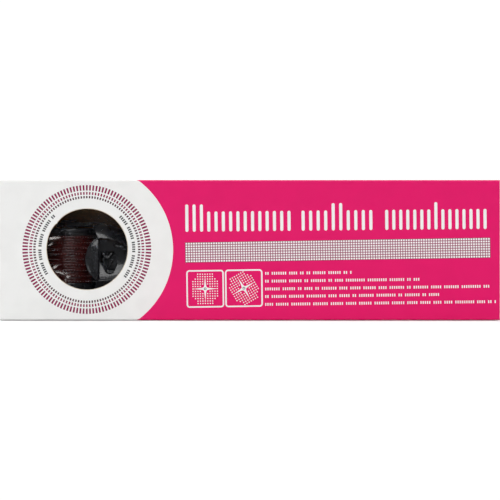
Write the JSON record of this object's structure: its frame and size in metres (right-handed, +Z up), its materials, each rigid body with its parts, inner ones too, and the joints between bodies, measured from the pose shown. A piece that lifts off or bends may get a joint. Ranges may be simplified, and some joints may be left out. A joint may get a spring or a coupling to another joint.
{
  "type": "derma roller in windowed box",
  "caption": "Microneedle skin roller lying in a board drawer that slides in a printed sleeve with a round film window over the needle drum.",
  "frame": {"origin": "middle of the box's underside, on the surface that it stands on", "axes": "+X along the box from the roller's head to its tail, which is also the way the drawer pulls out; the printed front face with the window looks to -Y; +Z up"},
  "size_m": [0.165, 0.036, 0.0462],
  "materials": {
    "printed_board": "pink and white print under a satin varnish",
    "kraft_board": "uncoated brown kraft",
    "clear_film": "thin clear film",
    "gloss_black": "polished black moulding",
    "grip_rubber": "matt ribbed rubber",
    "wine_plastic": "dark red, slightly see-through moulding",
    "steel": "ground stainless steel",
    "bush_acetal": "natural acetal"
  },
  "bodies": {
    "sleeve": {"printed_sleeve": "printed_board", "window_film": "clear_film"},
    "drawer": {"drawer_tray": "kraft_board", "neck_saddle": "kraft_board", "tail_saddle": "kraft_board", "fork_head": "gloss_black", "neck_tang": "gloss_black", "neck_collar": "wine_plastic", "handle_front_shell": "gloss_black", "handle_back_shell": "gloss_black", "grip_sleeve": "grip_rubber", "tail_cap": "gloss_black", "axle_pin": "steel", "axle_cap_top": "gloss_black", "axle_cap_bottom": "gloss_black"},
    "drum": {"drum_core": "gloss_black", "drum_flange_top": "gloss_black", "drum_flange_bottom": "gloss_black", "axle_bush_top": "bush_acetal", "axle_bush_bottom": "bush_acetal", "needle_disc_1": "wine_plastic", "needle_disc_2": "wine_plastic", "needle_disc_3": "wine_plastic", "needle_disc_4": "wine_plastic", "needle_disc_5": "wine_plastic", "needle_disc_6": "wine_plastic", "needle_disc_7": "wine_plastic", "needle_disc_8": "wine_plastic", "needle_disc_9": "wine_plastic", "spacer_ring_1": "wine_plastic", "spacer_ring_2": "wine_plastic", "spacer_ring_3": "wine_plastic", "spacer_ring_4": "wine_plastic", "spacer_ring_5": "wine_plastic", "spacer_ring_6": "wine_plastic", "spacer_ring_7": "wine_plastic", "spacer_ring_8": "wine_plastic"}
  },
  "joints": [
    {"name": "drawer_slide", "type": "slide", "parent": "sleeve", "child": "drawer", "axis": [1, 0, 0], "range_m": [0, 0.15]},
    {"name": "drum_spin", "type": "hinge", "parent": "drawer", "child": "drum", "pos_m": [-0.0602, 0.0008, 0.02], "axis": [0, 0, 1], "continuous": true}
  ]
}
